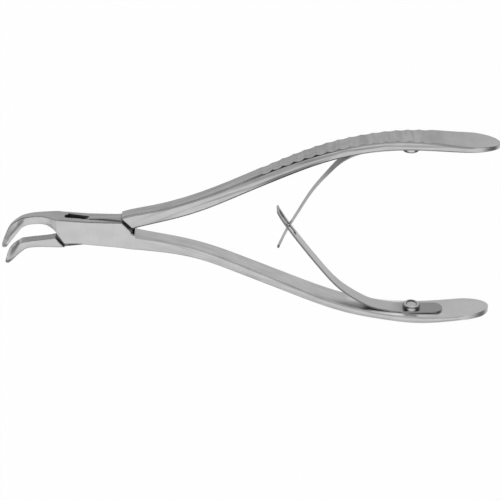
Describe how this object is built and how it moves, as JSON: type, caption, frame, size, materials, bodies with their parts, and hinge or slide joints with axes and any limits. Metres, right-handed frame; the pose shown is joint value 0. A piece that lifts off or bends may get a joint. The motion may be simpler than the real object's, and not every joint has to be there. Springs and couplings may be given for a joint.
{
  "type": "bone rongeur",
  "caption": "Small bone-nipping forceps with curved cupped jaws, a box joint, a leaf spring in each handle with one tongue passed through the other's slot, and a fluted handle.",
  "frame": {"origin": "centre of the pivot on the lower flat of the box joint, which lies on the table", "axes": "+X from the pivot to the handle ends, +Y towards the fluted upper handle, +Z along the pivot pin away from the table"},
  "size_m": [0.1579, 0.0669, 0.0108],
  "materials": {
    "satin_steel": "satin",
    "spring_steel": "satin",
    "screw_steel": "polished"
  },
  "bodies": {
    "box_side": {"box_half": "satin_steel", "pivot_pin": "satin_steel", "lower_leaf_spring": "spring_steel", "lower_spring_screw": "screw_steel"},
    "inner_side": {"inner_half": "satin_steel", "upper_leaf_spring": "spring_steel", "upper_spring_screw": "screw_steel"}
  },
  "joints": [
    {"name": "box_pivot", "type": "hinge", "parent": "box_side", "child": "inner_side", "pos_m": [0, 0, 0], "axis": [0, 0, 1], "range_deg": [-4, 1.5], "stiffness_Nm_per_rad": 6, "deforming": ["upper_leaf_spring", "lower_leaf_spring"]}
  ]
}
